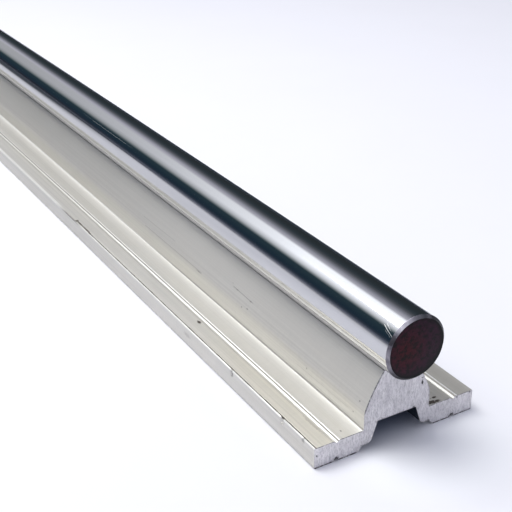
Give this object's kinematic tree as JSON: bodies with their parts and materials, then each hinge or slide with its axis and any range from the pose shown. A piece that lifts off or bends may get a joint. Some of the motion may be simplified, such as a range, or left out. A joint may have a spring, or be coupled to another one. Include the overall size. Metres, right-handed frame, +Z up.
{
  "type": "supported round rail",
  "caption": "Round steel guide shaft held along its whole length by an extruded aluminium support with two flanges, screwed together from a channel underneath.",
  "frame": {"origin": "middle of the rail's length and width, at the feet", "axes": "+Y along the shaft, +X across the flanges, +Z up from the feet to the shaft"},
  "size_m": [0.034, 0.3, 0.0264],
  "materials": {
    "plated_steel": "ground and hard chromed",
    "extruded_aluminium": "matt as extruded",
    "black_steel": "black oxide",
    "washer_steel": "plain spring steel"
  },
  "bodies": {
    "root": {"shaft": "plated_steel", "support_rail": "extruded_aluminium", "shaft_screw_1": "black_steel", "shaft_screw_2": "black_steel", "shaft_screw_3": "black_steel", "spring_washer_1": "washer_steel", "spring_washer_2": "washer_steel", "spring_washer_3": "washer_steel"}
  },
  "joints": []
}
